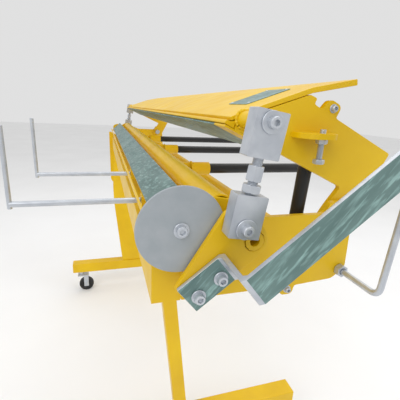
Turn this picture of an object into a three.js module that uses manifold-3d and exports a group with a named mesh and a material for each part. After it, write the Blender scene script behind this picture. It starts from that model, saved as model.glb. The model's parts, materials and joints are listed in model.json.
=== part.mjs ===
// Manual sheet-metal folding machine: fixed lower beam on a wheeled stand, a clamping upper beam that a
// hand lever pulls down through two turnbuckle links, and a hinged folding apron with an angle disc.
// Millimetres. +X runs from the front to the rear, +Y from the lever end to the far end, +Z up.
import * as THREE from 'three';
import { mergeVertices } from 'three/addons/utils/BufferGeometryUtils.js';
import Module from 'manifold-3d';

const wasm = await Module();
wasm.setup();

// Overall layout
const LENGTH = 1600;
const CENTRE_X = 250;
const CENTRE_Y = 779.5;
const GAP = 0.3;
const PLATE = 8;
const FACETS = 6;

// Pivot axes, as [x, z] seen from the lever end
const HINGE = [82, 868];
const SHAFT = [171.5, 852];
const PIVOT = [318, 854];
const CRANK_PIN = [147, 878];
const BEAM_PIN = [121, 919];
const SPRING_HEAD = [237.2, 939.5];
const SPRING_FOOT = [270, 790];
const OPEN_ANGLE = THREE.MathUtils.degToRad(24);

// Lower beam
const BOX = { x: 52, z: 757, width: 38.7, height: 65, wall: 4 };
const TUBE = { x: 141, z: 880, radius: 20, wall: 3 };
const RAIL = { x: 98, z: 757, width: 40, height: 34, wall: 3 };
const TIE = { x: 316, z: 786, radius: 17, wall: 3 };
const RIB_STATIONS = [425, 800, 1175];
const BAR_Z = 852;
const BAR_RADIUS = 13;
const SOCKET_RADIUS = 17;
const SOCKET_START = 215;
const SOCKET_END = 265;
const BAR_END = 680;

// Clamp drive
const SHAFT_RADIUS = 12.5;
const SHAFT_BORE = 6.5;
const CRANK_OFFSET = 29;
const BLOCK = { width: 38, length: 50, thickness: 20, below: 12 };
const SCREW_RADIUS = 4;
const LEVER = { x: 88, z: 784, angle: 38.4, width: 40, thickness: 6, foot: 70, joggle: 61, length: 640 };
const GRIP_LENGTH = 120;

// Upper beam, drawn clamped down
const ARM_LOW = 903.4;
const ARM_TOP = 979;
const ARM_REAR = 355;
const NECK_FRONT = 304;
const TOP_PLATE = [[104, 914], [187, 995], [242, 1036], [246.8, 1029.6], [191.5, 989.7], [107.5, 910.4]];
const BLADE_INSET = 48;

// Stand
const LEG_STATIONS = [310, 1290];
const FOOT = { start: -180, end: 544, z: 118, size: 50, wall: 3 };
const WHEEL_RADIUS = 37.5;
const CASTOR_X = [-140, 504];
const CASTOR_TRAIL = 24;

const YELLOW = { color: 0xe5b800, roughness: 0.42, metalness: 0.1 };
const ZINC = { color: 0xc3c9cf, roughness: 0.3, metalness: 0.85 };
const GALVANISED = { color: 0x5f7f80, roughness: 0.45, metalness: 0.7 };
const GREY_STEEL = { color: 0xa4abb0, roughness: 0.55, metalness: 0.5 };
const BLACK = { color: 0x141414, roughness: 0.5, metalness: 0.2 };
const RUBBER = { color: 0x1c1c1c, roughness: 0.85, metalness: 0 };

const machine = new THREE.Group();
machine.position.set(-CENTRE_X, -CENTRE_Y, 0);
const upperBeam = new THREE.Group();
upperBeam.position.set(PIVOT[0], 0, PIVOT[1]);
upperBeam.rotation.y = OPEN_ANGLE;
machine.add(upperBeam);

function toSolid(geometry) {
  const bare = geometry.clone();
  bare.deleteAttribute('normal');
  bare.deleteAttribute('uv');
  const merged = mergeVertices(bare, 1e-3);
  const triVerts = new Uint32Array(merged.index.array);
  return new wasm.Manifold(new wasm.Mesh({
    numProp: 3, vertProperties: merged.attributes.position.array, triVerts,
  }));
}

function toGeometry(solid) {
  const mesh = solid.getMesh();
  const geometry = new THREE.BufferGeometry();
  geometry.setAttribute('position', new THREE.BufferAttribute(new Float32Array(mesh.vertProperties), 3));
  geometry.setIndex(new THREE.BufferAttribute(new Uint32Array(mesh.triVerts), 1));
  geometry.computeVertexNormals();
  return geometry;
}

// Pieces welded together become one solid.
function weld(pieces) {
  return toGeometry(pieces.map(toSolid).reduce((whole, piece) => whole.add(piece)));
}

function cut(body, tools) {
  return toGeometry(tools.map(toSolid).reduce((whole, tool) => whole.subtract(tool), toSolid(body)));
}

function addPart(name, geometry, finish, parent = machine) {
  const mesh = new THREE.Mesh(geometry, new THREE.MeshStandardMaterial(finish));
  mesh.name = name;
  parent.add(mesh);
}

// Closed outline through [x, z, corner radius] points. A radius is kept under half of the shorter side.
function outline(points) {
  const shape = new THREE.Shape();
  const corners = points.map(([x, z]) => new THREE.Vector2(x, z));
  const count = corners.length;
  corners.forEach((here, i) => {
    const toBefore = corners[(i + count - 1) % count].clone().sub(here);
    const toAfter = corners[(i + 1) % count].clone().sub(here);
    const radius = Math.min(points[i][2] ?? 0, 0.45 * toBefore.length(), 0.45 * toAfter.length());
    const start = radius ? toBefore.setLength(radius).add(here) : here;
    if (i === 0) shape.moveTo(start.x, start.y);
    else shape.lineTo(start.x, start.y);
    if (!radius) return;
    const end = toAfter.setLength(radius).add(here);
    shape.quadraticCurveTo(here.x, here.y, end.x, end.y);
  });
  return shape;
}

function circle(x, z, radius) {
  const path = new THREE.Shape();
  path.absarc(x, z, radius, 0, Math.PI * 2, false);
  return path;
}

// Extrudes an x-z shape along the machine's length, from y to y + depth.
function slab(shape, holes, y, depth, facets = FACETS) {
  shape.holes = holes.map(([x, z, radius]) => circle(x, z, radius));
  const geometry = new THREE.ExtrudeGeometry(shape, { depth, bevelEnabled: false, curveSegments: facets });
  geometry.rotateX(Math.PI / 2);
  geometry.translate(0, y + depth, 0);
  return geometry;
}

function pipe(x, z, radius, bore, y, depth, facets = FACETS) {
  return slab(circle(x, z, radius), bore ? [[x, z, bore]] : [], y, depth, facets);
}

function block(x0, x1, y0, y1, z0, z1) {
  const geometry = new THREE.BoxGeometry(x1 - x0, y1 - y0, z1 - z0);
  geometry.translate((x0 + x1) / 2, (y0 + y1) / 2, (z0 + z1) / 2);
  return geometry;
}

// Rectangular hollow section along the length.
function hollowSection({ x, z, width, height, wall }, y, depth) {
  const shape = outline([[x, z], [x + width, z], [x + width, z + height], [x, z + height]]);
  const inner = outline([
    [x + wall, z + wall], [x + width - wall, z + wall],
    [x + width - wall, z + height - wall], [x + wall, z + height - wall],
  ]);
  shape.holes = [inner];
  const geometry = new THREE.ExtrudeGeometry(shape, { depth, bevelEnabled: false });
  geometry.rotateX(Math.PI / 2);
  geometry.translate(0, y + depth, 0);
  return geometry;
}

function hexagon(x, z, acrossFlats, bore, y, depth) {
  const points = [];
  const corner = acrossFlats / Math.sqrt(3);
  for (let i = 0; i < 6; i += 1) {
    const angle = i * Math.PI / 3;
    points.push([x + corner * Math.cos(angle), z + corner * Math.sin(angle)]);
  }
  return slab(outline(points), bore ? [[x, z, bore]] : [], y, depth);
}

// Round bar through corner points, bent on a radius at each inner corner.
function bentRod(points, radius, bend) {
  const path = new THREE.CurvePath();
  const corners = points.map((p) => new THREE.Vector3(...p));
  let start = corners[0];
  for (let i = 1; i < corners.length - 1; i += 1) {
    const into = corners[i].clone().add(start.clone().sub(corners[i]).setLength(bend));
    const out = corners[i].clone().add(corners[i + 1].clone().sub(corners[i]).setLength(bend));
    path.add(new THREE.LineCurve3(start, into));
    path.add(new THREE.QuadraticBezierCurve3(into, corners[i], out));
    start = out;
  }
  path.add(new THREE.LineCurve3(start, corners[corners.length - 1]));
  const section = circle(0, 0, radius);
  return new THREE.ExtrudeGeometry(section, { steps: 20, extrudePath: path, curveSegments: 4 });
}

// Mirrors a y position to the far end of the machine.
const far = (y, depth) => LENGTH - y - depth;

// Cap screw and its washer, head towards -Y, or +Y at the far end. The tip is at y, the washer at seat.
function capScrew(x, z, tip, seat, atFar) {
  const shank = tip - seat + GAP;
  const [washer, washerDepth, head, headDepth, socket, socketDepth] = [12, 2, 6.5, 8, 3.2, 4];
  const end = shank + washerDepth + headDepth;
  const screw = new THREE.LatheGeometry([
    [0, 0], [SCREW_RADIUS, 0], [SCREW_RADIUS, shank], [washer, shank], [washer, shank + washerDepth],
    [head, shank + washerDepth], [head, end], [socket, end], [socket, end - socketDepth],
    [0, end - socketDepth],
  ].map(([radius, along]) => new THREE.Vector2(radius, along)), 14);
  if (!atFar) screw.rotateX(Math.PI);
  return screw.translate(x, atFar ? LENGTH - tip : tip, z);
}

function buildEndPlates() {
  const points = [
    [91, 757, 3], [230, 757, 3], [240, 752, 4], [245, 743, 7], [263, 743, 7], [266, 757, 4], [332, 761, 6],
    [353, 779, 5], [350, 838, 6], [346, 886, 18], [306, 886, 16], [300, 868, 8], [205, 868, 8],
    [172, 880, 8], [160, 893, 9], [126, 899, 10], [108, 886, 8], [84, 894, 14], [58, 884, 14],
    [60, 846, 14], [91, 826, 2],
  ];
  const holes = [
    [...HINGE, 6.5], [...SHAFT, SHAFT_RADIUS + 0.5], [...PIVOT, 8.5], [254, 752, 4.5],
  ];
  const springPin = pipe(...SPRING_FOOT, 5, 0, PLATE - 1, 31);
  addPart('near_end_plate', weld([slab(outline(points), holes, 0, PLATE), springPin]), YELLOW);
  addPart('far_end_plate', slab(outline(points), holes, LENGTH - PLATE, PLATE), YELLOW);
}

function buildLowerBeam() {
  const inner = PLATE + GAP;
  const span = LENGTH - 2 * inner;
  const cap = 6;
  const drain = 8;
  const caps = [0, LENGTH - cap].map((y) => block(
    BOX.x, BOX.x + BOX.width, y, y + cap, BOX.z, BOX.z + BOX.height));
  const middle = BOX.x + BOX.width / 2;
  const drainHole = block(middle - drain, middle + drain, 60, 60 + drain, BOX.z - 1, BOX.z + BOX.wall + 1);
  const boxBeam = weld([hollowSection(BOX, 1, LENGTH - 2), ...caps]);
  addPart('front_box_beam', cut(boxBeam, [drainHole]), YELLOW);
  const clampTube = pipe(TUBE.x, TUBE.z, TUBE.radius, TUBE.radius - TUBE.wall, inner, span, 10);
  addPart('lower_clamp_tube', clampTube, YELLOW);
  addPart('leg_rail', hollowSection(RAIL, inner, span), YELLOW);
  addPart('rear_tie_tube', pipe(TIE.x, TIE.z, TIE.radius, TIE.radius - TIE.wall, inner, span), YELLOW);
  const back = BOX.x + BOX.width + GAP;
  const railTop = RAIL.z + RAIL.height + GAP;
  const alongX = (geometry) => geometry.rotateZ(-Math.PI / 2);
  RIB_STATIONS.forEach((y, i) => {
    const rib = slab(outline([
      [back, railTop], [212, railTop], [SOCKET_START + 2, 835, 4], [SOCKET_START + 2, 868, 3], [188, 868, 6],
      [158, 866, 3], [150, 856, 4], [130, 856, 4], [back, 822, 3],
    ]), [[...SHAFT, SHAFT_RADIUS + 0.5]], y - 4, 8);
    const socket = pipe(0, 0, SOCKET_RADIUS, BAR_RADIUS + GAP, SOCKET_START, SOCKET_END - SOCKET_START);
    const placed = alongX(socket).translate(0, y, BAR_Z);
    addPart(`bearing_rib_${i + 1}`, weld([rib, placed]), YELLOW);
    const start = SOCKET_START + 3;
    const bar = pipe(0, 0, BAR_RADIUS, BAR_RADIUS - 2, start, BAR_END - start);
    addPart(`rear_support_bar_${i + 1}`, alongX(bar).translate(0, y, BAR_Z), BLACK);
  });
}

function buildPivotBolts() {
  for (const side of ['near', 'far']) {
    const place = (start, depth) => (side === 'far' ? far(start, depth) : start);
    addPart(`${side}_arm_pivot_bolt`, weld([
      pipe(...PIVOT, 8, 0, place(-1.5, 20.5), 20.5), hexagon(...PIVOT, 24, 0, place(-9, 8), 8),
      hexagon(...PIVOT, 24, 0, place(18, 8), 8),
    ]), ZINC);
  }
}

// Folding apron, about the hinge axis
function buildApron() {
  const up = new THREE.Vector2(0.668, 0.744);
  const top = [96, 899];
  const low = [58, 865];
  const faceY = 18;
  const span = LENGTH - 2 * faceY;
  const strip = (from, to, lift, thickness) => outline([
    [from[0] - up.x * lift, from[1] + up.y * lift], [to[0] - up.x * lift, to[1] + up.y * lift],
    [to[0] - up.x * (lift - thickness), to[1] + up.y * (lift - thickness)],
    [from[0] - up.x * (lift - thickness), from[1] + up.y * (lift - thickness)],
  ]);
  addPart('apron_face_plate', slab(strip(top, low, 0, 2.5), [], faceY, span), GALVANISED);
  const rodStations = [150, 363];
  const armPoints = [
    [98, 895, 3], [60, 861.5], [53, 858.5], [49.5, 864.3], [46, 858], [62, 852, 6], [82, 853, 9],
    [97, 860, 9], [101, 880, 9],
  ];
  addPart('apron_frame', weld([
    slab(outline([[96.6, 895.4], [58.9, 861.6], [62, 858], [100, 892]]), [], faceY, span),
    block(47, 50, faceY - 4, LENGTH - faceY + 4, 858.5, 864),
    ...rodStations.map((y) => block(56 + GAP, 66, y - 11, y + 11, 842, 862)),
    ...[faceY - 9, LENGTH - faceY - 1].map((y) => slab(outline(armPoints), [[...HINGE, 6 + GAP]], y, 10)),
  ]), YELLOW);
  addPart('angle_disc', pipe(...HINGE, 53, 6 + GAP, -27, 3, 18), GREY_STEEL);
  const shoulder = 0.6;
  addPart('near_hinge_bolt', weld([
    pipe(...HINGE, 6, 0, -30, 48), hexagon(...HINGE, 15, 0, -33.4, 6),
    pipe(...HINGE, 11, 0, -24 + GAP, 24 - GAP - shoulder),
  ]), ZINC);
  addPart('far_hinge_bolt', weld([
    pipe(...HINGE, 6, 0, LENGTH - 18, 24), hexagon(...HINGE, 15, 0, LENGTH + shoulder, 6),
  ]), ZINC);
  rodStations.forEach((y, i) => {
    const [start, reach, tip] = [56, -137, 968];
    const bar = pipe(0, 0, 4.5, 0, 0, start - reach).rotateZ(Math.PI / 2).translate(start, y, 853);
    const post = cylinderUpright(reach + 1, y, 3.5, 846, tip);
    addPart(`front_support_rod_${i + 1}`, weld([bar, post]), ZINC);
  });
}

// Crank plates, shaft and hand lever, about the shaft axis
function buildCrank() {
  const y = -CRANK_OFFSET - PLATE;
  const plateHoles = [[...SHAFT, SHAFT_RADIUS + 0.7]];
  const leverCrank = outline([
    [101, 770, 3], [176, 829.5, 14], [192, 846, 14], [184, 870, 12], [162, 888, 8], [147, 897, 8],
    [131, 891, 5], [74, 797, 3],
  ]);
  const plainCrank = outline([
    [158, 833, 10], [178, 832, 12], [193, 848, 14], [184, 870, 12], [162, 890, 8], [147, 897, 8],
    [131, 886, 10],
  ]);
  const collarDepth = CRANK_OFFSET - GAP - 0.6;
  const collars = [-collarDepth - 0.6, LENGTH + 0.6].map((start) => (
    pipe(...SHAFT, 19, SHAFT_RADIUS - 1, start, collarDepth)));
  const shaft = pipe(...SHAFT, SHAFT_RADIUS, SHAFT_BORE, y - 1, LENGTH - 2 * (y - 1));
  addPart('torsion_shaft', weld([shaft, ...collars]), YELLOW);
  addPart('near_crank_plate', slab(leverCrank, plateHoles, y, PLATE, 6), YELLOW);
  addPart('far_crank_plate', slab(plainCrank, plateHoles, far(y, PLATE), PLATE, 6), YELLOW);
  const seat = -CRANK_OFFSET - PLATE - 2 - BLOCK.thickness;
  addPart('near_crank_screw', capScrew(...CRANK_PIN, y - GAP, seat, false), ZINC);
  addPart('far_crank_screw', capScrew(...CRANK_PIN, y - GAP, seat, true), ZINC);

  const lever = new THREE.Group();
  lever.position.set(LEVER.x, 0, LEVER.z);
  lever.rotation.y = -THREE.MathUtils.degToRad(LEVER.angle);
  machine.add(lever);
  const t = LEVER.thickness;
  const inside = y - GAP;
  const outer = inside - LEVER.joggle;
  const profile = new THREE.Shape();
  const { foot, length } = LEVER;
  const bends = [
    [0, inside - t], [foot - t - 4, inside - t], [foot - t, inside - t - 4], [foot - t, outer + 4 - t],
    [foot - t + 6, outer - t], [length, outer - t], [length, outer], [foot + 4, outer],
    [foot, outer + 4], [foot, inside - 6], [foot - 6, inside], [0, inside],
  ];
  profile.setFromPoints(bends.map(([s, depth]) => new THREE.Vector2(s, depth)));
  const bar = new THREE.ExtrudeGeometry(profile, { depth: LEVER.width, bevelEnabled: false });
  bar.translate(0, 0, -LEVER.width / 2);
  addPart('hand_lever', bar, ZINC, lever);
  [14, 48].forEach((s, i) => addPart(`lever_screw_${i + 1}`, weld([
    pipe(s, -4, 6.5, 0, inside - t - GAP - 9, 7), pipe(s, -4, 9, 0, inside - t - GAP - 2.5, 2.5),
  ]), ZINC, lever));
  const grip = outline([[-28, -9, 8], [28, -9, 8], [28, 9, 8], [-28, 9, 8]]);
  grip.holes = [outline([[-20.3, -3.3], [20.3, -3.3], [20.3, 3.3], [-20.3, 3.3]])];
  const gripForm = { depth: GRIP_LENGTH, bevelEnabled: false, curveSegments: FACETS };
  const sleeve = new THREE.ExtrudeGeometry(grip, gripForm);
  sleeve.rotateY(Math.PI / 2);
  sleeve.translate(length - GRIP_LENGTH - 2, outer - t / 2, 0);
  addPart('lever_grip', sleeve, RUBBER, lever);
}

// Turnbuckle link from the crank pin up to the beam pin
function buildLink(side, atFar) {
  const open = new THREE.Vector2(BEAM_PIN[0] - PIVOT[0], BEAM_PIN[1] - PIVOT[1]);
  open.rotateAround(new THREE.Vector2(0, 0), -OPEN_ANGLE);
  const pin = new THREE.Vector2(...CRANK_PIN);
  const reach = open.add(new THREE.Vector2(...PIVOT)).sub(pin);
  const length = reach.length();
  const link = new THREE.Group();
  link.position.set(pin.x, 0, pin.y);
  link.rotation.y = Math.atan2(reach.x, reach.y);
  machine.add(link);
  const half = BLOCK.width / 2;
  const y = -CRANK_OFFSET - PLATE - 2 - BLOCK.thickness;
  const place = (start, depth) => (atFar ? far(start, depth) : start);
  const blockFrom = (z, holeZ) => slab(outline([
    [-half, z, 1.5], [half, z, 1.5], [half, z + BLOCK.length, 1.5], [-half, z + BLOCK.length, 1.5],
  ]), [[0, holeZ, SCREW_RADIUS + GAP]], place(y, BLOCK.thickness), BLOCK.thickness, 6);
  const upperStart = length + BLOCK.below - BLOCK.length;
  const lowerEnd = BLOCK.length - BLOCK.below;
  addPart(`${side}_link_lower_block`, blockFrom(-BLOCK.below, 0), ZINC, link);
  addPart(`${side}_link_upper_block`, blockFrom(upperStart, length), ZINC, link);
  const middle = place(y, BLOCK.thickness) + BLOCK.thickness / 2;
  const upright = (geometry) => geometry.rotateX(Math.PI / 2).translate(0, middle, 0);
  const gap = upperStart - lowerEnd;
  addPart(`${side}_turnbuckle`, weld([
    upright(pipe(0, 0, 6, 0, lowerEnd + GAP, gap - 2 * GAP)),
    upright(hexagon(0, 0, 17, 0, lowerEnd + gap * 0.37, gap * 0.42)),
    upright(hexagon(0, 0, 20, 0, lowerEnd + gap * 0.03, gap * 0.26)),
  ]), ZINC, link);
  addPart(`${side}_beam_screw`, capScrew(0, length, -CRANK_OFFSET - PLATE - 2 + GAP, y, atFar), ZINC, link);
}

function buildUpperBeam() {
  const local = (points) => points.map(([x, z, radius]) => [x - PIVOT[0], z - PIVOT[1], radius]);
  const armPoints = local([
    [115, ARM_LOW], [NECK_FRONT, ARM_LOW, 5], [297, 868, 10], [294, 834, 20],
    [346, 834, 22], [ARM_REAR, ARM_TOP, 4], [240, ARM_TOP, 3], [240, 996, 8], [218, 996, 8],
    [214, ARM_TOP, 4], [200, ARM_TOP, 4], [200, 987, 3], [189, 986], [184, 981.7], [115, 916.6],
  ]);
  const springPin = [SPRING_HEAD[0] - PIVOT[0], SPRING_HEAD[1] - PIVOT[1]];
  const holes = [[0, 0, 8.5], [229 - PIVOT[0], 987.5 - PIVOT[1], 4]];
  const armY = PLATE + 0.6;
  const pin = [BEAM_PIN[0] - PIVOT[0], BEAM_PIN[1] - PIVOT[1]];
  const bossEnd = -CRANK_OFFSET - PLATE - 2 + 2 * GAP + 0.2;
  const bossDepth = armY + 1 - bossEnd;
  const boss = (y) => pipe(...pin, 10, 0, y, bossDepth);
  const stopScrew = { x: 4, y: -10 };
  const toStop = (geometry) => geometry
    .rotateY(-OPEN_ANGLE).translate(218 - PIVOT[0], 0, 941 - PIVOT[1]);
  const ledge = outline([[-29, armY + 1], [-29, -8, 8], [-16, -24, 8], [18, -24, 8], [29, armY + 1]]);
  ledge.holes = [circle(stopScrew.x, stopScrew.y, SCREW_RADIUS + GAP)];
  const ledgeForm = { depth: 7, bevelEnabled: false, curveSegments: FACETS };
  const bracket = toStop(new THREE.ExtrudeGeometry(ledge, ledgeForm));
  const bladeFace = local([[102, 900.5], [184, 900.5], [184, 903], [102, 903]]);
  const pad = (y) => slab(outline(bladeFace), [], y, BLADE_INSET - armY - GAP);
  const padRib = (y) => slab(outline(local([
    [116, 902], [124, 902], [124, 908], [116, 908],
  ])), [], y, BLADE_INSET - armY - GAP);
  addPart('near_upper_arm', weld([
    slab(outline(armPoints), holes, armY, PLATE), boss(bossEnd), bracket, pad(armY), padRib(armY),
    pipe(...springPin, 4, 0, armY + PLATE - 1, 27),
  ]), YELLOW, upperBeam);
  addPart('far_upper_arm', weld([
    slab(outline(armPoints), holes, far(armY, PLATE), PLATE), boss(far(bossEnd, bossDepth)),
    pad(LENGTH - BLADE_INSET + GAP), padRib(LENGTH - BLADE_INSET + GAP),
  ]), YELLOW, upperBeam);
  addPart('stop_screw', toStop(weld([
    hexUpright(stopScrew, 13, -6 - GAP), hexUpright(stopScrew, 13, -32),
    cylinderUpright(stopScrew.x, stopScrew.y, SCREW_RADIUS, -30, 12),
  ])), ZINC, upperBeam);

  const plateY = armY + 1 + GAP;
  const span = LENGTH - 2 * plateY;
  const inside = armY + PLATE + GAP;
  const topPlate = slab(outline(local(TOP_PLATE)), [], plateY, span, 4);
  const web = slab(outline(local([
    [172, ARM_LOW], [178, ARM_LOW], [178, 980], [172, 974],
  ])), [], inside, LENGTH - 2 * inside);
  addPart('beam_top_plate', weld([topPlate, web]), YELLOW, upperBeam);
  addPart('nose_bar', slab(outline(local([
    [100, 904, 2], [114.2, ARM_LOW], [114.2, 914.8], [107, 909.2], [101, 909.2, 2],
  ])), [], plateY, span, 4), YELLOW, upperBeam);
  const blade = slab(outline(bladeFace), [], BLADE_INSET, LENGTH - 2 * BLADE_INSET);
  addPart('clamp_blade', blade, GALVANISED, upperBeam);
}

function hexUpright({ x, y }, acrossFlats, z) {
  const geometry = hexagon(0, 0, acrossFlats, 0, 0, 6);
  geometry.rotateX(Math.PI / 2);
  geometry.translate(x, y, z);
  return geometry;
}

function cylinderUpright(x, y, radius, z0, z1) {
  const geometry = new THREE.CylinderGeometry(radius, radius, z1 - z0, 12);
  geometry.rotateX(Math.PI / 2);
  geometry.translate(x, y, (z0 + z1) / 2);
  return geometry;
}

// Gas spring from the near upper arm down to a pin on the near end plate
function buildGasSpring() {
  const top = new THREE.Vector2(SPRING_HEAD[0] - PIVOT[0], SPRING_HEAD[1] - PIVOT[1]);
  top.rotateAround(new THREE.Vector2(0, 0), -OPEN_ANGLE);
  top.add(new THREE.Vector2(...PIVOT));
  const bottom = new THREE.Vector2(...SPRING_FOOT);
  const length = top.distanceTo(bottom);
  const y = 31;
  const spring = new THREE.Group();
  spring.position.set(top.x, y, top.y);
  spring.rotation.y = Math.atan2(top.x - bottom.x, top.y - bottom.y);
  machine.add(spring);
  const bodyEnd = -118;
  const body = new THREE.LatheGeometry([
    [0, -5.5], [5, -5.5], [10, -12], [10, bodyEnd], [4.5, bodyEnd], [4.5, -40], [0, -40],
  ].map((p) => new THREE.Vector2(...p)).reverse(), 16);
  body.rotateX(Math.PI / 2);
  const headEye = cut(weld([body, pipe(0, 0, 8, 0, -6, 12)]), [pipe(0, 0, 4 + GAP, 0, -12, 24)]);
  addPart('gas_spring_body', headEye, BLACK, spring);
  const rodTop = -70;
  const rod = cylinderUpright(0, 0, 4, -length + 7.5, rodTop);
  addPart('gas_spring_rod', weld([rod, pipe(0, -length, 10, 6.5, -6, 12)]), ZINC, spring);
}

// Bent rod with its collar and nut at the rear of the near end plate
function buildSideRod() {
  addPart('side_rod', weld([
    bentRod([[342, -0.6, 776], [342, -76, 776], [350, -76, 905]], 4.5, 14),
    hexagon(342, 776, 17, 0, -10, 9.4),
  ]), ZINC);
}

function buildStand() {
  const lean = Math.tan(THREE.MathUtils.degToRad(6.4));
  const legTop = [101, 756.7];
  const legLow = FOOT.z + FOOT.size + GAP;
  const drop = (legTop[1] - legLow) * lean;
  const width = 34;
  const wall = 3;
  const height = legTop[1] - legLow;
  // A square tube whose section stays level while it leans towards the front at the top.
  const leg = (y) => {
    const side = width / 2;
    const square = (half) => outline([[-half, -half], [half, -half], [half, half], [-half, half]]);
    const section = square(side);
    section.holes = [square(side - wall)];
    const geometry = new THREE.ExtrudeGeometry(section, { depth: height, bevelEnabled: false });
    geometry.applyMatrix4(new THREE.Matrix4().makeShear(0, 0, 0, 0, -lean, 0));
    return geometry.translate(legTop[0] + side + drop, y, legLow);
  };
  addPart('near_leg', leg(LEG_STATIONS[0]), YELLOW);
  const panel = slab(outline([
    [50, 756.7], [40, 600, 20], [43, 509, 20], [80, legLow], [200, legLow], [140, 756.7],
  ]), [], LEG_STATIONS[1] - width / 2 - 3, 4, 4);
  addPart('far_leg', weld([leg(LEG_STATIONS[1]), panel]), YELLOW);
  addPart('far_end_cover', slab(outline([
    [34, 850, 12], [37, 560, 8], [48, 540, 8], [150, 560, 10], [160, 752, 10], [120, 800, 10],
    [60, 838, 10],
  ]), [], LENGTH + GAP, 3, 4), YELLOW);
  const foot = (y) => {
    const section = { x: 0, z: 0, width: FOOT.size, height: FOOT.size, wall: FOOT.wall };
    const geometry = hollowSection(section, FOOT.start, FOOT.end - FOOT.start);
    geometry.rotateZ(-Math.PI / 2);
    return geometry.translate(0, y + FOOT.size / 2, FOOT.z);
  };
  addPart('near_foot', foot(LEG_STATIONS[0]), YELLOW);
  addPart('far_foot', foot(LEG_STATIONS[1]), YELLOW);
}

function buildCastor(name, x, y) {
  const castor = new THREE.Group();
  castor.position.set(x, y, 0);
  machine.add(castor);
  const cheek = (side) => block(
    CASTOR_TRAIL - 12, CASTOR_TRAIL + 12, side * 17 - 1.5, side * 17 + 1.5, 28, 92);
  const crown = block(-18, CASTOR_TRAIL + 12, -18.5, 18.5, 90, 96);
  const stem = cylinderUpright(0, 0, 11, 95, FOOT.z - GAP);
  const axle = pipe(CASTOR_TRAIL, WHEEL_RADIUS, 4, 0, -17, 34);
  addPart(`${name}_castor_fork`, weld([cheek(-1), cheek(1), crown, stem, axle]), ZINC, castor);
  const wheel = pipe(CASTOR_TRAIL, WHEEL_RADIUS, WHEEL_RADIUS, 4 + GAP, -12, 24, 10);
  addPart(`${name}_castor_wheel`, wheel, RUBBER, castor);
}

buildEndPlates();
buildLowerBeam();
buildPivotBolts();
buildApron();
buildCrank();
buildLink('near', false);
buildLink('far', true);
buildUpperBeam();
buildGasSpring();
buildSideRod();
buildStand();
[['near', LEG_STATIONS[0]], ['far', LEG_STATIONS[1]]].forEach(([side, y]) => {
  buildCastor(`${side}_front`, CASTOR_X[0], y);
  buildCastor(`${side}_rear`, CASTOR_X[1], y);
});

export default machine;
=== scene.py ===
import json
import math

import bmesh
import bpy
from mathutils import Matrix, Vector


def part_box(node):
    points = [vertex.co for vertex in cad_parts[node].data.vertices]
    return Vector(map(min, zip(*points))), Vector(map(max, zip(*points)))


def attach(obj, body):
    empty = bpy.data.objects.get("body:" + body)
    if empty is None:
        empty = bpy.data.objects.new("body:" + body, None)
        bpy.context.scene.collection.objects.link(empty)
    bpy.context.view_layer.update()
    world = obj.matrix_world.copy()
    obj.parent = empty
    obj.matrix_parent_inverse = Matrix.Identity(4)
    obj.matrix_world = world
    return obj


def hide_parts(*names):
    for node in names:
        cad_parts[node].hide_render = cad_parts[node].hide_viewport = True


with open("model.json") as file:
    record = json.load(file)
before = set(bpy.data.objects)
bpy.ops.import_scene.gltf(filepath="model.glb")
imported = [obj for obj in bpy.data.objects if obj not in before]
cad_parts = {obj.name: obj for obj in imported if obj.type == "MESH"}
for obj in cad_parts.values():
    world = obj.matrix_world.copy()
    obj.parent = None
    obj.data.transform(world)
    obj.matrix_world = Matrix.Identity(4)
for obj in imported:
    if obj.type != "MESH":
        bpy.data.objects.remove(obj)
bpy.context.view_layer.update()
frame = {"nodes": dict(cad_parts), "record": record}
RECORD = frame["record"]
BODY = {node: body for body, nodes in RECORD["behaviour"]["bodies"].items() for node in nodes}
SLOT = {row["node"]: row["material_slot"] for row in RECORD["subparts"]}
JOINTS = {joint["name"]: joint for joint in RECORD["behaviour"]["joints"]}
PIVOT = {name: Vector(joint["pos_m"]) for name, joint in JOINTS.items() if "pos_m" in joint}
MM = 0.001
FULL_TURN = 2 * math.pi
ALONG_Y = Matrix.Rotation(-math.pi / 2, 4, "X")
ALONG_X = Matrix.Rotation(math.pi / 2, 4, "Y")
ALONG_Z = Matrix.Identity(4)


# ---------------------------------------------------------------- materials
NOISE_LOW, NOISE_HIGH = 0.3, 0.7  # noise seldom leaves this range
MIX_FACTOR, MIX_A, MIX_B, MIX_RESULT = 0, 6, 7, 2  # colour sockets of the Mix node


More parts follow.
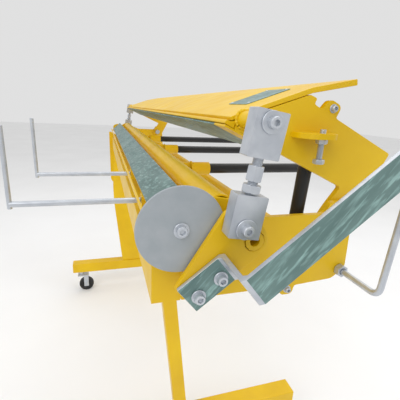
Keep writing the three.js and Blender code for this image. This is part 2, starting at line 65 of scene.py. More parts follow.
class Look:
    """A node material built around one Principled shader, in object coordinates."""

    def __init__(self, name, roughness, metallic):
        self.material = bpy.data.materials.new(name)
        self.material.use_nodes = True
        self.tree = self.material.node_tree
        self.shader = self.tree.nodes["Principled BSDF"]
        self.shader.inputs["Metallic"].default_value = metallic
        self.shader.inputs["Roughness"].default_value = roughness
        self.coordinates = self.tree.nodes.new("ShaderNodeTexCoord").outputs["Object"]

    def noise(self, scale, detail=3.0, stretch=(1, 1, 1), turn=(0, 0, 0), distortion=0.0):
        """Noise drawn out by stretch along the axes of a frame turned by turn."""
        mapping = self.tree.nodes.new("ShaderNodeMapping")
        mapping.vector_type = "TEXTURE"
        mapping.inputs["Scale"].default_value = stretch
        mapping.inputs["Rotation"].default_value = turn
        self.tree.links.new(self.coordinates, mapping.inputs["Vector"])
        noise = self.tree.nodes.new("ShaderNodeTexNoise")
        noise.inputs["Scale"].default_value = scale
        noise.inputs["Detail"].default_value = detail
        noise.inputs["Distortion"].default_value = distortion
        self.tree.links.new(mapping.outputs["Vector"], noise.inputs["Vector"])
        return noise.outputs["Fac"]

    def ramp(self, value, dark, light, low=NOISE_LOW, high=NOISE_HIGH):
        """A colour from dark, where value is low, to light, where it is high."""
        ramp = self.tree.nodes.new("ShaderNodeValToRGB")
        ramp.color_ramp.elements[0].position = low
        ramp.color_ramp.elements[1].position = high
        ramp.color_ramp.elements[0].color = (*dark, 1)
        ramp.color_ramp.elements[1].color = (*light, 1)
        self.tree.links.new(value, ramp.inputs["Fac"])
        return ramp.outputs["Color"]

    def mask(self, value, low, high):
        """Black where value is low, white where it is high."""
        return self.ramp(value, (0, 0, 0), (1, 1, 1), low, high)

    def span(self, value, low, high):
        """Spreads noise over low to high."""
        node = self.tree.nodes.new("ShaderNodeMapRange")
        node.inputs["From Min"].default_value = NOISE_LOW
        node.inputs["From Max"].default_value = NOISE_HIGH
        node.inputs["To Min"].default_value = low
        node.inputs["To Max"].default_value = high
        self.tree.links.new(value, node.inputs["Value"])
        return node.outputs["Result"]

    def mix(self, factor, first, second):
        node = self.tree.nodes.new("ShaderNodeMix")
        node.data_type = "RGBA"
        self.tree.links.new(factor, node.inputs[MIX_FACTOR])
        self.tree.links.new(first, node.inputs[MIX_A])
        self.tree.links.new(second, node.inputs[MIX_B])
        return node.outputs[MIX_RESULT]

    def colour(self, output):
        self.tree.links.new(output, self.shader.inputs["Base Color"])

    def roughness(self, output):
        self.tree.links.new(output, self.shader.inputs["Roughness"])

    def bump(self, height, distance, strength):
        bump = self.tree.nodes.new("ShaderNodeBump")
        bump.inputs["Strength"].default_value = strength
        bump.inputs["Distance"].default_value = distance
        self.tree.links.new(height, bump.inputs["Height"])
        self.tree.links.new(bump.outputs["Normal"], self.shader.inputs["Normal"])


def enamel(name, dark, light, scuff, roughness):
    """Sprayed enamel: slow colour drift, orange peel, and small scuffs."""
    look = Look(name, roughness, metallic=0.0)
    body = look.ramp(look.noise(scale=9, detail=4), dark, light)
    chips = look.noise(scale=230, detail=5, distortion=0.6)
    chip_mask = look.mask(chips, low=0.735, high=0.76)
    scuffed = look.ramp(look.noise(scale=60), scuff, dark)
    look.colour(look.mix(chip_mask, body, scuffed))
    look.roughness(look.span(look.noise(scale=26, detail=5), roughness - 0.07, roughness + 0.1))
    look.bump(look.noise(scale=420, detail=2), distance=0.0004, strength=0.25)
    look.shader.inputs["Specular IOR Level"].default_value = 0.35
    look.shader.inputs["Coat Weight"].default_value = 0.08
    look.shader.inputs["Coat Roughness"].default_value = 0.2
    return look.material


def streaked(name, dark, light, stretch, turn, roughness):
    """Zinc coated plate: a clouded ground under fine bright streaks that run one way."""
    look = Look(name, roughness, metallic=0.25)

    def streaks(scale, detail, distortion=0.0):
        return look.noise(scale, detail, stretch, turn, distortion)

    ground = look.ramp(streaks(30, 4), dark, light, low=0.34, high=0.68)
    pale = tuple(min(1.0, v * 1.75) for v in light)
    fleck = look.mask(streaks(230, 5, distortion=0.4), low=0.50, high=0.66)
    bright = look.ramp(streaks(90, 4), light, pale, low=0.35, high=0.65)
    look.colour(look.mix(fleck, ground, bright))
    look.roughness(look.span(streaks(120, 5), roughness - 0.1, roughness + 0.12))
    look.bump(streaks(260, 4), distance=0.0002, strength=0.3)
    return look.material


def plated(name, dark, light, roughness, metallic):
    """Plated or bare steel: cloudy colour and fine drawn grain."""
    look = Look(name, roughness, metallic)
    look.colour(look.ramp(look.noise(scale=45, distortion=0.3), dark, light))
    look.roughness(look.span(look.noise(scale=150, detail=4), roughness - 0.04, roughness + 0.06))
    look.bump(look.noise(scale=900, detail=2), distance=0.0001, strength=0.2)
    return look.material


def moulded(name, dark, light, roughness):
    """Moulded rubber or plastic, slightly dusty."""
    look = Look(name, roughness, metallic=0.0)
    look.colour(look.ramp(look.noise(scale=45, detail=5), dark, light, low=0.35))
    look.roughness(look.span(look.noise(scale=90), roughness - 0.08, roughness + 0.08))
    look.bump(look.noise(scale=900, detail=2), distance=0.0004, strength=0.35)
    return look.material


YELLOW = enamel(
    "yellow_enamel", dark=(0.70, 0.43, 0.0005), light=(0.78, 0.51, 0.001),
    scuff=(0.35, 0.25, 0.08), roughness=0.42)
BLACK = enamel(
    "black_enamel", dark=(0.006, 0.006, 0.007), light=(0.017, 0.017, 0.018),
    scuff=(0.10, 0.10, 0.10), roughness=0.38)
PLATE = streaked(
    "galvanised_plate", dark=(0.085, 0.155, 0.145), light=(0.17, 0.26, 0.245),
    stretch=(1, 3.5, 1), turn=(0, 0, 0.45), roughness=0.45)
LEVER = streaked(
    "lever_plate", dark=(0.085, 0.16, 0.15), light=(0.17, 0.27, 0.255),
    stretch=(6, 1, 1), turn=(0, -0.87, 0), roughness=0.42)
ZINC = plated(
    "zinc_plate", dark=(0.46, 0.49, 0.54), light=(0.58, 0.61, 0.65), roughness=0.34, metallic=0.55)
DISC = plated(
    "disc_steel", dark=(0.33, 0.365, 0.39), light=(0.38, 0.41, 0.435), roughness=0.55, metallic=0.2)
RUBBER = moulded(
    "black_rubber", dark=(0.008, 0.008, 0.008), light=(0.026, 0.026, 0.026), roughness=0.72)
TYRE = moulded(
    "tyre_rubber", dark=(0.010, 0.010, 0.011), light=(0.030, 0.030, 0.031), roughness=0.66)
FINISH = {
    "yellow_paint": YELLOW, "galvanised_plate": PLATE, "grey_plate": DISC, "zinc_plate": ZINC,
    "black_enamel": BLACK, "rubber": RUBBER,
}


# ---------------------------------------------------------------- mesh helpers
CREASE = math.radians(32)  # edges sharper than this stay sharp
NEEDLE = 0.00005  # the radius that stands for a point on the axis


def shade(mesh):
    for face in mesh.polygons:
        face.use_smooth = True
    mesh.set_sharp_from_angle(angle=CREASE)


def piece(name, bm, node, material=None, replaces=False, placement=ALONG_Z):
    """Makes an object from bm that rides with the node's body and takes its slot, or slot."""
    bm.transform(placement)
    bmesh.ops.recalc_face_normals(bm, faces=bm.faces)
    mesh = bpy.data.meshes.new(name)
    bm.to_mesh(mesh)
    bm.free()
    shade(mesh)
    obj = bpy.data.objects.new(name, mesh)
    bpy.context.scene.collection.objects.link(obj)
    weighted = obj.modifiers.new("weighted_normals", "WEIGHTED_NORMAL")
    weighted.keep_sharp = True
    mesh.materials.append(material or FINISH[SLOT[node]])
    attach(obj, BODY[node])
    if replaces:
        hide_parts(node)
    return obj


def angles(count):
    return [FULL_TURN * i / count for i in range(count)]


def polar(radius, angle, z=0.0):
    return Vector((radius * math.cos(angle), radius * math.sin(angle), z))


def circle(radius, z, count):
    return [polar(radius, angle, z) for angle in angles(count)]


def polygon_radius(angle, sides, inradius):
    """How far the side of a regular polygon is from its centre, at this angle."""
    turn = (angle + math.pi / sides) % (FULL_TURN / sides) - math.pi / sides
    return inradius / math.cos(turn)


def socket_ring(inradius, z, count, shrink=1.0):
    """A ring on the wall of a hexagon socket."""
    return [polar(polygon_radius(a, 6, inradius) * shrink, a, z) for a in angles(count)]


def sweep_rings(bm, rings, closed=False):
    """Skins consecutive rings of points. The last is joined to the first, or both are capped."""
    made = [[bm.verts.new(p) for p in ring] for ring in rings]
    pairs = list(zip(made, made[1:]))
    if closed:
        pairs.append((made[-1], made[0]))
    for a, b in pairs:
        for i in range(len(a)):
            k = (i + 1) % len(a)
            bm.faces.new((a[i], a[k], b[k], b[i]))
    if not closed:
        bm.faces.new(made[0])
        bm.faces.new(reversed(made[-1]))


def lathe(profile, segments=48, closed=False):
    """Turns (radius, height) points about Z. closed makes a bored piece."""
    bm = bmesh.new()
    rings = [circle(max(radius, NEEDLE), height, segments) for radius, height in profile]
    sweep_rings(bm, rings, closed=closed)
    return bm


def polygon_prism(sides, across, height, bore=0.0, chamfer=0.0007):
    """A nut or bolt head: a prism whose corners are turned down at both ends, with its bore."""
    count = sides * 8
    corner = across / 2 / math.cos(math.pi / sides)
    face = across / 2 * 0.98
    low_edge, high_edge = chamfer, height - chamfer
    rings = [
        [polar(min(polygon_radius(a, sides, across / 2), limit), a, z) for a in angles(count)]
        for limit, z in ((face, 0.0), (corner, low_edge), (corner, high_edge), (face, height))]
    if bore:
        rings += [
            circle(bore + flare, z, count)
            for flare, z in ((chamfer, height), (0, high_edge), (0, low_edge), (chamfer, 0.0))]
    bm = bmesh.new()
    sweep_rings(bm, rings, closed=bool(bore))
    return bm


def thread(radius, pitch, start, end, segments=20, per_turn=5):
    """A helical screw thread along Z, from start to end, that runs out over its last few rows."""
    depth_ratio, run_out_rows, run_out_depth = 0.55, 4, 0.3
    rows = max(6, int((end - start) / pitch * per_turn))
    rings = []
    for row in range(rows + 1):
        z = start + (end - start) * row / rows
        fade = min(1.0, min(row, rows - row) / run_out_rows)
        ring = []
        for i, angle in enumerate(angles(segments)):
            phase = (z / pitch - i / segments) % 1.0
            depth = abs(2 * phase - 1) * depth_ratio * pitch * fade
            ring.append(polar(radius - depth - (1 - fade) * run_out_depth * pitch, angle, z))
        rings.append(ring)
    bm = bmesh.new()
    sweep_rings(bm, rings)
    return bm


def join(target, *others):
    """Adds the other bmeshes to target."""
    for other in others:
        mesh = bpy.data.meshes.new("joining")
        other.to_mesh(mesh)
        other.free()
        target.from_mesh(mesh)
        bpy.data.meshes.remove(mesh)
    return target


def moved(bm, matrix):
    bm.transform(matrix)
    return bm


def at(*p):
    return Matrix.Translation(Vector(p))


def upright(centre, sign=-1):
    """Places a piece made along Z so that it stands along Y, towards sign."""
    return at(*centre) @ (ALONG_Y if sign > 0 else ALONG_Y @ Matrix.Rotation(math.pi, 4, "X"))


def bent_bar(corners, radius, bend, sides=16):
    """A round bar through corner points, with curved bends and chamfered ends."""
    arc_steps, edge = 10, 0.2
    corners = [Vector(c) for c in corners]
    path = [corners[0]]
    for before, here, after in zip(corners, corners[1:], corners[2:]):
        start = here + (before - here).normalized() * bend
        end = here + (after - here).normalized() * bend
        for step in range(arc_steps + 1):
            t = step / arc_steps
            path.append(start * (1 - t) ** 2 + here * 2 * t * (1 - t) + end * t ** 2)
    path.append(corners[-1])
    normal = (corners[1] - corners[0]).cross(corners[-1] - corners[0]).normalized()
    last = len(path) - 1
    rings = []
    for i, point in enumerate(path):
        along = (path[min(i + 1, last)] - path[max(i - 1, 0)]).normalized()
        side = along.cross(normal).normalized()
        spokes = [radius * (math.cos(a) * normal + math.sin(a) * side) for a in angles(sides)]
        if i not in (0, last):
            rings.append([point + spoke for spoke in spokes])
            continue
        tip = [point + (1 - edge) * spoke for spoke in spokes]
        inward = 1 if i == 0 else -1
        inset = [point + along * (edge * radius * inward) + spoke for spoke in spokes]
        rings.extend([tip, inset] if i == 0 else [inset, tip])
    bm = bmesh.new()
    sweep_rings(bm, rings)
    return bm


def straight_bar(radius, start, end, sides=24):
    """A round bar with chamfered ends, from start to end."""
    start, end = Vector(start), Vector(end)
    length = (end - start).length
    edge = radius * 0.2
    bar = lathe([(0, 0), (radius - edge, 0), (radius, edge), (radius, length - edge),
                 (radius - edge, length), (0, length)], sides)
    turn = (end - start).to_track_quat("Z", "Y").to_matrix().to_4x4()
    return moved(bar, at(*start) @ turn)


def eased(node, width, material=None, segments=2):
    """Stands for a CAD node with its edges rounded over, as on cut and painted plate."""
    weld_distance, flat_angle, bevel_angle = 1e-5, math.radians(1), math.radians(38)
    bm = bmesh.new()
    bm.from_mesh(frame["nodes"][node].data)
    bmesh.ops.remove_doubles(bm, verts=bm.verts, dist=weld_distance)
    bmesh.ops.dissolve_limit(
        bm, angle_limit=flat_angle, verts=bm.verts, edges=bm.edges, delimit={"NORMAL"})
    edges = [e for e in bm.edges if e.is_manifold and e.calc_face_angle(0) > bevel_angle]
    bmesh.ops.bevel(
        bm, geom=edges, offset=width, offset_type="OFFSET", segments=segments, profile=0.5,
        affect="EDGES", clamp_overlap=True)
    bmesh.ops.triangulate(bm, faces=[f for f in bm.faces if len(f.verts) > 4])
    return piece(f"{node}_body", bm, node, material, replaces=True)


# ---------------------------------------------------------------- plates and frames
CORNERS = ("near_front", "near_rear", "far_front", "far_rear")
EDGE_MM = {
    "near_end_plate": 0.8, "far_end_plate": 0.8, "front_box_beam": 2.2, "leg_rail": 1.6,
    "bearing_rib_1": 0.6, "bearing_rib_2": 0.6, "bearing_rib_3": 0.6, "apron_frame": 0.7,
    "near_upper_arm": 0.8, "far_upper_arm": 0.8, "beam_top_plate": 0.8, "nose_bar": 0.6,
    "near_crank_plate": 0.9, "far_crank_plate": 0.9, "near_leg": 2.2, "far_leg": 1.2,
    "far_end_cover": 0.6, "near_foot": 5.0, "far_foot": 5.0, "torsion_shaft": 0.4,
    "clamp_blade": 0.4, "apron_face_plate": 0.5, "near_link_lower_block": 1.0,
    "near_link_upper_block": 1.0, "far_link_lower_block": 1.0, "far_link_upper_block": 1.0,
}
for node, width in EDGE_MM.items():
    eased(node, width * MM)
lever = eased("hand_lever", 0.9 * MM, LEVER)
lever.data.materials.append(ZINC)
for face in lever.data.polygons:
    face.material_index = 0 if abs(face.normal.y) > 0.9 else 1
for corner in CORNERS:
    eased(f"{corner}_castor_fork", 0.8 * MM)
eased("lever_grip", 1.4 * MM, segments=3)


# ---------------------------------------------------------------- round bars and tubes
def bored_tube(node, radius, wall):
    """A tube along its longest side, with eased ends."""
    low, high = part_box(node)
    size = high - low
    length = max(size)
    runs_along_x = size.x == length
    ease = 0.0006
    outer, inner = radius, radius - wall
    bm = lathe([
        (outer, ease), (outer, length - ease), (outer - ease, length), (inner + ease, length),
        (inner, length - ease), (inner, ease), (inner + ease, 0), (outer - ease, 0),
    ], 40, closed=True)
    centre = (low + high) / 2
    if runs_along_x:
        placement = at(low.x, centre.y, centre.z) @ ALONG_X
    else:
        placement = at(centre.x, low.y, centre.z) @ ALONG_Y
    return piece(f"{node}_body", bm, node, replaces=True, placement=placement)


bored_tube("lower_clamp_tube", radius=0.020, wall=0.003)
bored_tube("rear_tie_tube", radius=0.017, wall=0.003)
for i in (1, 2, 3):
    bored_tube(f"rear_support_bar_{i}", radius=0.013, wall=0.002)

ROD_POST_RADIUS = 0.0035
ROD_RADIUS = 0.0045
ROD_ABOVE_FRAME = 0.011
for i in (1, 2):
    node = f"front_support_rod_{i}"
    low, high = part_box(node)
    y = (low.y + high.y) / 2
    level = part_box("apron_frame")[0].z + ROD_ABOVE_FRAME
    corner_x = low.x + ROD_POST_RADIUS
    bar = straight_bar(ROD_RADIUS, (high.x, y, level), (corner_x - 0.001, y, level))
    post = straight_bar(ROD_POST_RADIUS, (corner_x, y, low.z), (corner_x, y, high.z))
    piece(f"{node}_body", join(bar, post), node, replaces=True)

low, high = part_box("side_rod")
hub = PIVOT["side_rod_turn"]
collar = moved(
    polygon_prism(6, across=0.017, height=0.0094, bore=0.0052),
    at(hub.x, hub.y - 0.0050, hub.z) @ ALONG_Y)
elbow_y = low.y + ROD_RADIUS
rod = bent_bar([
    (hub.x, high.y, hub.z), (hub.x, elbow_y, hub.z), (high.x - ROD_RADIUS, elbow_y, high.z),
], ROD_RADIUS, bend=0.014)
piece("side_rod_body", join(collar, rod), "side_rod", replaces=True)


# ---------------------------------------------------------------- screws and washers
M8_RADIUS = 0.004
HEAD_RADIUS = 0.0065
SOCKET_HALF = 0.0032  # from the middle to a flat of the hexagon socket
HEAD_SIDES = 72


def socket_screw(node, seat_sign):
    """Cap screw with a knurled head, a socket and a washer. Its head points seat_sign along Y."""
    washer, washer_height, ease = 0.012, 0.002, 0.0004
    head_height, socket_depth, knurl_depth = 0.008, 0.004, 0.00022
    low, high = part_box(node)
    washer_low = high.y - low.y - head_height - washer_height
    washer_high = washer_low + washer_height
    bm = lathe([
        (0, 0), (M8_RADIUS * 0.9, 0), (M8_RADIUS, 0.0006), (M8_RADIUS, washer_low),
        (washer - ease, washer_low), (washer, washer_low + ease), (washer, washer_high - ease),
        (washer - ease, washer_high), (0.0058, washer_high),
    ])
    base = washer_high - 0.0002
    top = base + head_height
    rings = [
        [polar(radius - depth * (k % 2), a, z) for k, a in enumerate(angles(HEAD_SIDES))]
        for radius, z, depth in (
            (HEAD_RADIUS - 0.0004, base, 0), (HEAD_RADIUS, base + 0.0006, knurl_depth),
            (HEAD_RADIUS, base + 0.0060, knurl_depth), (HEAD_RADIUS - 0.0001, base + 0.0066, 0),
            (HEAD_RADIUS - 0.0009, top, 0))]
    rings += [socket_ring(SOCKET_HALF, z, HEAD_SIDES) for z in (top, top - socket_depth)]
    head = bmesh.new()
    sweep_rings(head, rings)
    centre = (low + high) / 2
    start = (centre.x, low.y if seat_sign > 0 else high.y, centre.z)
    return piece(
        f"{node}_body", join(bm, head), node, replaces=True, placement=upright(start, seat_sign))


socket_screw("near_crank_screw", -1)
socket_screw("near_beam_screw", -1)
socket_screw("far_crank_screw", 1)
socket_screw("far_beam_screw", 1)


def cap_head(radius, height, socket, washer, washer_height):
    """Cap screw head on its washer, up from z = 0. The socket is half as deep as the head."""
    ease, crown = 0.0004, 0.0008
    top = washer_height + height
    rings = [circle(max(r, NEEDLE), z, HEAD_SIDES) for r, z in (
        (0.0, 0.0), (washer - ease, 0.0), (washer, ease), (washer, washer_height - ease),
        (washer - ease, washer_height), (radius, washer_height),
        (radius, washer_height + height * 0.75), (radius - crown, top))]
    floor = top - height * 0.5
    rings += [socket_ring(socket, z, HEAD_SIDES, shrink)
              for z, shrink in ((top, 1.0), (floor, 1.0), (floor, 0.02))]
    bm = bmesh.new()
    sweep_rings(bm, rings)
    return bm


# ---------------------------------------------------------------- disc, bolts and lever screws
HINGE_PIN = 0.006


def hinge_shank(length):
    return lathe([
        (0, 0), (HINGE_PIN - 0.0005, 0), (HINGE_PIN, 0.0005), (HINGE_PIN, length), (0, length)])


hinge = PIVOT["apron_hinge"]
disc_low, disc_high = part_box("angle_disc")
rim, thick, bore, ease = (disc_high.x - disc_low.x) / 2, disc_high.y - disc_low.y, 0.0063, 0.0006
disc = lathe([
    (rim - ease, 0), (rim, ease), (rim, thick - ease), (rim - ease, thick), (rim * 0.5, thick),
    (bore, thick), (bore, 0), (rim * 0.5, 0)], 128, closed=True)
piece("angle_disc_body", disc, "angle_disc", replaces=True,
      placement=at(hinge.x, disc_low.y, hinge.z) @ ALONG_Y)

low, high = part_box("near_hinge_bolt")
spacer_length, spacer_end = 0.0200, 0.0232
shank = moved(hinge_shank(high.y - low.y - 0.010), upright((hinge.x, high.y, hinge.z)))
spacer = moved(
    lathe([(0.011, 0), (0.0108, spacer_length), (0.0062, spacer_length), (0.0062, 0)], 40, True),
    upright((hinge.x, disc_low.y + spacer_end, hinge.z)))
head = moved(
    cap_head(HEAD_RADIUS, height=0.0048, socket=SOCKET_HALF, washer=0.0095, washer_height=0.0016),
    upright((hinge.x, disc_low.y, hinge.z)))
piece("near_hinge_bolt_body", join(head, shank, spacer), "near_hinge_bolt", replaces=True)

low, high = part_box("far_hinge_bolt")
head = moved(
    cap_head(HEAD_RADIUS, height=0.0048, socket=SOCKET_HALF, washer=0.0070, washer_height=0.0012),
    upright((hinge.x, high.y - 0.006, hinge.z), 1))
shank = moved(hinge_shank(0.0180), upright((hinge.x, low.y, hinge.z), 1))
piece("far_hinge_bolt_body", join(head, shank), "far_hinge_bolt", replaces=True)

for i in (1, 2):
    node = f"lever_screw_{i}"
    low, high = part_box(node)
    middle = (low + high) / 2
    head = cap_head(HEAD_RADIUS, height=0.0075, socket=0.0033, washer=0.009, washer_height=0.0020)
    piece(f"{node}_body", head, node, replaces=True,
          placement=upright((middle.x, high.y, middle.z)))

beam_pivot = PIVOT["upper_beam_hinge"]
bolt_head_height, thread_inset = 0.008, 0.006
for node in ("near_arm_pivot_bolt", "far_arm_pivot_bolt"):
    low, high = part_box(node)
    near_head, far_head = (
        moved(polygon_prism(6, across=0.024, height=bolt_head_height),
              at(beam_pivot.x, y, beam_pivot.z) @ ALONG_Y)
        for y in (low.y, high.y - bolt_head_height))
    core = moved(thread(0.008, 0.00175, 0, high.y - low.y - 2 * thread_inset),
                 at(beam_pivot.x, low.y + thread_inset, beam_pivot.z) @ ALONG_Y)
    piece(f"{node}_body", join(near_head, far_head, core), node, replaces=True)


# ---------------------------------------------------------------- turnbuckles and stop screw
M8_PITCH = 0.00125
NUT_CHAMFER = 0.0012
LOWER_STUD_START, UPPER_STUD_END = 0.038, 0.025
for side in ("near", "far"):
    node = f"{side}_turnbuckle"
    lower, upper = (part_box(f"{side}_link_{which}_block") for which in ("lower", "upper"))
    middle = (lower[0].y + lower[1].y) / 2
    axis = (upper[0] + upper[1]) - (lower[0] + lower[1])
    axis.y = 0
    axis.normalize()
    stud_low = PIVOT[f"{side}_link_pivot"] + axis * LOWER_STUD_START
    stud_high = (upper[0] + upper[1]) / 2 - axis * UPPER_STUD_END
    stud_low.y = stud_high.y = middle
    gap = (stud_high - stud_low).length
    turn = axis.to_track_quat("Z", "Y").to_matrix().to_4x4()
    stud = thread(0.006, M8_PITCH, 0.0003, gap - 0.0003, 24)
    hexagon, lock_nut = (
        moved(polygon_prism(6, across, gap * share, chamfer=NUT_CHAMFER), at(0, 0, gap * start))
        for across, share, start in ((0.017, 0.42, 0.37), (0.020, 0.22, 0.05)))
    piece(f"{node}_body", join(stud, hexagon, lock_nut), node, replaces=True,
          placement=at(*stud_low) @ turn)

STOP_ACROSS, STOP_HEAD, STOP_CHAMFER = 0.013, 0.006, 0.0009
low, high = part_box("stop_screw")
length = high.z - low.z
bolt = thread(M8_RADIUS, M8_PITCH, 0.001, length - 0.0002)
head, nut = (polygon_prism(6, STOP_ACROSS, STOP_HEAD, chamfer=STOP_CHAMFER) for _ in range(2))
moved(nut, at(0, 0, length - 0.0183))
piece("stop_screw_body", join(head, bolt, nut), "stop_screw", replaces=True,
      placement=at((low.x + high.x) / 2, (low.y + high.y) / 2, low.z))


# ---------------------------------------------------------------- gas spring
def eye(outer, bore, height):
    """Ring of a spring end, along Y, centred on its pin at this height on the spring's axis."""
    half, ease = 0.006, 0.001
    ring = lathe([
        (outer - ease, -half), (outer, -half + ease), (outer, half - ease), (outer - ease, half),
        (bore, half), (bore, -half)], 32, closed=True)
    return moved(ring, at(0, 0, height) @ ALONG_Y)


# Both profiles hang down from the upper pin, at z = 0 on the spring's axis.
SPRING_BODY, SPRING_END = 0.0100, 0.1180
GROOVE, GROOVE_RADIUS = (0.1080, 0.1095, 0.1110, 0.1122), 0.0093
BODY_BORE, BODY_BORE_TOP = 0.0046, 0.0400
PLUNGER_RADIUS, PLUNGER_TOP, PLUNGER_COLLAR = 0.0040, 0.0700, 0.0056
spring_top = PIVOT["gas_spring_head_pivot"]
spring_axis = Vector(JOINTS["gas_spring_stroke"]["axis"])
spring_place = at(*spring_top) @ spring_axis.to_track_quat("Z", "Y").to_matrix().to_4x4()
rod_length = spring_top.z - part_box("gas_spring_rod")[0].z - 0.010
shell = lathe([
    (0.0048, -0.0070), (0.0092, -0.0115), (SPRING_BODY, -0.0135), (SPRING_BODY, -GROOVE[0]),
    (GROOVE_RADIUS, -GROOVE[1]), (GROOVE_RADIUS, -GROOVE[2]), (SPRING_BODY, -GROOVE[3]),
    (SPRING_BODY, -SPRING_END + 0.0015), (0.0088, -SPRING_END), (BODY_BORE, -SPRING_END),
    (BODY_BORE, -BODY_BORE_TOP), (0.0003, -BODY_BORE_TOP)], 40)
piece("gas_spring_body_shell", join(shell, eye(outer=0.008, bore=0.0043, height=0)),
      "gas_spring_body", replaces=True, placement=spring_place)
plunger = lathe([
    (0, -PLUNGER_TOP), (PLUNGER_RADIUS - 0.0004, -PLUNGER_TOP),
    (PLUNGER_RADIUS, -PLUNGER_TOP - 0.0006), (PLUNGER_RADIUS, -rod_length + 0.016),
    (PLUNGER_COLLAR, -rod_length + 0.015), (PLUNGER_COLLAR, -rod_length + 0.0095),
    (0, -rod_length + 0.0095)], 32)
piece("gas_spring_rod_body", join(plunger, eye(outer=0.010, bore=0.0065, height=-rod_length)),
      "gas_spring_rod", replaces=True, placement=spring_place)


# ---------------------------------------------------------------- castor wheels
for corner in CORNERS:
    node = f"{corner}_castor_wheel"
    low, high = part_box(node)
    outer, width = (high.z - low.z) / 2, high.y - low.y
    bore = 0.0043
    side = [(outer - 0.0040, 0.0), (outer - 0.0008, 0.0028), (outer, 0.0075)]
    tread = side + [(r, width - z) for r, z in reversed(side)]
    face = [(outer * 0.76, width), (outer * 0.72, width - 0.0030), (outer * 0.40, width - 0.0045),
            (outer * 0.34, width - 0.0005), (bore, width - 0.0005)]
    back = [(r, width - z) for r, z in reversed(face)]
    piece(f"{node}_body", lathe(tread + face + back, 56, closed=True), node, TYRE, replaces=True,
          placement=at((low.x + high.x) / 2, low.y, (low.z + high.z) / 2) @ ALONG_Y)


# ---------------------------------------------------------------- welds
REST_ANGLE = math.radians(24)  # how far the beam stands open at rest
PLATE_THICKNESS = 0.008
plate_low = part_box("near_end_plate")[0].y
far_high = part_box("far_end_plate")[1].y


def rest_pose(x, z):
    """Where a point of the clamped upper beam, given from its pivot in mm, stands at rest."""
    return (beam_pivot.x + (x * math.cos(REST_ANGLE) + z * math.sin(REST_ANGLE)) * MM,
            beam_pivot.z + (z * math.cos(REST_ANGLE) - x * math.sin(REST_ANGLE)) * MM)


def bead(name, points, node, radius=0.0022, closed=False):
    """A stacked weld bead along points, in the paint of its node."""
    path, rings = [Vector(p) for p in points], []
    count = len(path)
    for i, point in enumerate(path):
        ahead = path[(i + 1) % count] if closed or i + 1 < count else point
        behind = path[i - 1] if closed or i else point
        along = (ahead - behind).normalized()
        side = along.orthogonal().normalized()
        other = along.cross(side)
        ripple = radius * (1 + 0.18 * math.sin(i * 1.9) + 0.07 * math.sin(i * 5.3))
        rings.append([
            point + ripple * (side * math.cos(a) + other * math.sin(a)) for a in angles(8)])
    bm = bmesh.new()
    sweep_rings(bm, rings, closed=closed)
    return piece(name, bm, node)


def ring_points(centre, radius, axis, count):
    turn = Vector(axis).to_track_quat("Z", "Y").to_matrix()
    return [Vector(centre) + turn @ polar(radius, a) for a in angles(count)]


boss_x, boss_z = rest_pose(-197, 65)
for side, y in (("near", plate_low + PLATE_THICKNESS), ("far", far_high - PLATE_THICKNESS)):
    bead(f"{side}_boss_weld", ring_points((boss_x, y, boss_z), 0.0106, (0, 1, 0), 60),
         f"{side}_upper_arm", closed=True)

SOCKET_REACH = 0.048  # how far a rear bar's socket stands out from its rib
for i in (1, 2, 3):
    low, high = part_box(f"bearing_rib_{i}")
    bar_low, bar_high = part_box(f"rear_support_bar_{i}")
    centre = (high.x - SOCKET_REACH, (low.y + high.y) / 2, (bar_low.z + bar_high.z) / 2)
    bead(f"socket_weld_{i}", ring_points(centre, 0.0172, (1, 0, 0), 80),
         f"bearing_rib_{i}", closed=True)

BEAM_WIDTH, SINK, WELD_STEP = 0.0392, 0.0004, 0.0018
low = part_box("front_box_beam")[0]
for side, y in (("near", plate_low + SINK), ("far", far_high - SINK)):
    seam = [(low.x + BEAM_WIDTH, y, low.z + 0.004 + WELD_STEP * k) for k in range(31)]
    bead(f"{side}_box_weld", seam, f"{side}_end_plate", 0.0018)


# ---------------------------------------------------------------- lug screws
def fixing(name, x, y, z, node, sign):
    """A small cap screw on its washer, standing along Y."""
    head = cap_head(0.0042, height=0.0045, socket=0.0021, washer=0.0058, washer_height=0.0010)
    piece(name, head, node, ZINC, placement=upright((x, y, z), sign))


lower_lug_x, lower_lug_z = beam_pivot.x - 0.064, beam_pivot.z - 0.102
upper_lug_x, upper_lug_z = rest_pose(-89, 133.5)
arm_inset = PLATE_THICKNESS + 0.0006
fixing("lower_lug_screw", lower_lug_x, plate_low, lower_lug_z, "near_end_plate", -1)
fixing("upper_lug_screw", upper_lug_x, plate_low + arm_inset, upper_lug_z, "near_upper_arm", -1)
fixing("far_lower_lug_screw", lower_lug_x, far_high, lower_lug_z, "far_end_plate", 1)
fixing("far_upper_lug_screw", upper_lug_x, far_high - arm_inset, upper_lug_z, "far_upper_arm", 1)


# ---------------------------------------------------------------- blank badge
SLOPE_START = (-214, 60)  # front edge of the top plate, in mm from the beam's pivot when clamped
SLOPE = (0.7157, 0.6984)  # the way the plate rises from there


def on_slope(along, across, lift):
    """A point of the top plate, in mm up its slope, along the machine, and off its face."""
    x = SLOPE_START[0] + SLOPE[0] * along - SLOPE[1] * lift
    z = SLOPE_START[1] + SLOPE[1] * along + SLOPE[0] * lift
    px, pz = rest_pose(x, z)
    return Vector((px, plate_low + across * MM, pz))


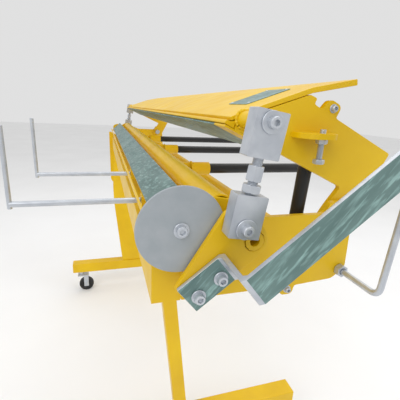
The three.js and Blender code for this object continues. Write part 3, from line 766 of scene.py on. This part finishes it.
def badge():
    """A blank riveted plate on the top plate, near the lever end. Lengths are in mm."""
    radius, steps, rivet_inset = 4.0, 6, 5
    (s0, s1), (y0, y1) = (46, 117), (60, 128)
    outline = []
    for cx, cy, start in ((s1 - radius, y1 - radius, 0), (s0 + radius, y1 - radius, 90),
                          (s0 + radius, y0 + radius, 180), (s1 - radius, y0 + radius, 270)):
        for k in range(steps + 1):
            a = math.radians(start + 90 * k / steps)
            outline.append((cx + radius * math.cos(a), cy + radius * math.sin(a)))
    mx, my = (s0 + s1) / 2, (y0 + y1) / 2
    inner = [(mx + (cx - mx) * 0.985, my + (cy - my) * 0.985) for cx, cy in outline]
    bm = bmesh.new()
    sweep_rings(bm, [[on_slope(cx, cy, lift) for cx, cy in loop]
                     for loop, lift in ((outline, 0.15), (outline, 0.8), (inner, 1.0))])
    piece("blank_badge", bm, "beam_top_plate", PLATE)
    rivet_places = [(s, y) for y in (y0 + rivet_inset, y1 - rivet_inset)
                    for s in (s0 + rivet_inset, s1 - rivet_inset)]
    for n, (along, across) in enumerate(rivet_places):
        bm = bmesh.new()
        sweep_rings(bm, [
            [on_slope(along + r * math.cos(a), across + r * math.sin(a), lift) for a in angles(20)]
            for r, lift in ((2.0, 0.9), (1.9, 1.4), (1.4, 1.8), (0.6, 2.0))])
        piece(f"badge_rivet_{n + 1}", bm, "beam_top_plate", ZINC)


badge()


# ---------------------------------------------------------------- stage, light and camera
CAMERA_PLACE = (-0.250, -1.1273, 1.003)
CAMERA_HEADING = math.radians(-17.68)
CAMERA_TILT = math.radians(73.62)  # up from straight down
CAMERA_ROLL = math.radians(3.07)
camera = bpy.data.objects.new("photo_camera", bpy.data.cameras.new("photo_camera"))
bpy.context.scene.collection.objects.link(camera)
camera.data.lens = 27.9
camera.data.sensor_width = 36
camera.data.clip_start = 0.01
camera.matrix_world = (
    at(*CAMERA_PLACE) @ Matrix.Rotation(CAMERA_HEADING, 4, "Z")
    @ Matrix.Rotation(CAMERA_TILT, 4, "X") @ Matrix.Rotation(CAMERA_ROLL, 4, "Z"))
bpy.context.scene.camera = camera

FLOOR_HALF = 15
floor_look = Look("studio_floor", roughness=0.8, metallic=0.0)
floor_look.colour(floor_look.ramp(
    floor_look.noise(scale=1.5), dark=(0.86, 0.86, 0.86), light=(0.9, 0.9, 0.9)))
bm = bmesh.new()
bmesh.ops.create_grid(bm, x_segments=2, y_segments=2, size=FLOOR_HALF)
mesh = bpy.data.meshes.new("studio_floor")
bm.to_mesh(mesh)
bm.free()
mesh.materials.append(floor_look.material)
floor = bpy.data.objects.new("studio_floor", mesh)
bpy.context.scene.collection.objects.link(floor)

world = bpy.data.worlds.new("studio_world")
world.use_nodes = True
sky = world.node_tree.nodes["Background"]
sky.inputs["Color"].default_value = (1.0, 1.0, 1.0, 1)
sky.inputs["Strength"].default_value = 0.75
bpy.context.scene.world = world
bpy.context.scene.view_settings.view_transform = "Standard"

LIT_POINT = Vector((0, 0, 0.8))


def soft_light(name, place, size, power):
    light = bpy.data.lights.new(name, "AREA")
    light.shape = "SQUARE"
    light.size = size
    light.energy = power
    obj = bpy.data.objects.new(name, light)
    obj.location = place
    obj.rotation_mode = "QUATERNION"
    obj.rotation_quaternion = (LIT_POINT - Vector(place)).to_track_quat("-Z", "Y")
    bpy.context.scene.collection.objects.link(obj)


soft_light("key_light", (-2.0, -2.2, 3.0), size=2.2, power=42)
soft_light("top_light", (0.6, 0.6, 3.4), size=3.0, power=34)
soft_light("side_light", (3.0, -1.6, 2.0), size=2.0, power=22)
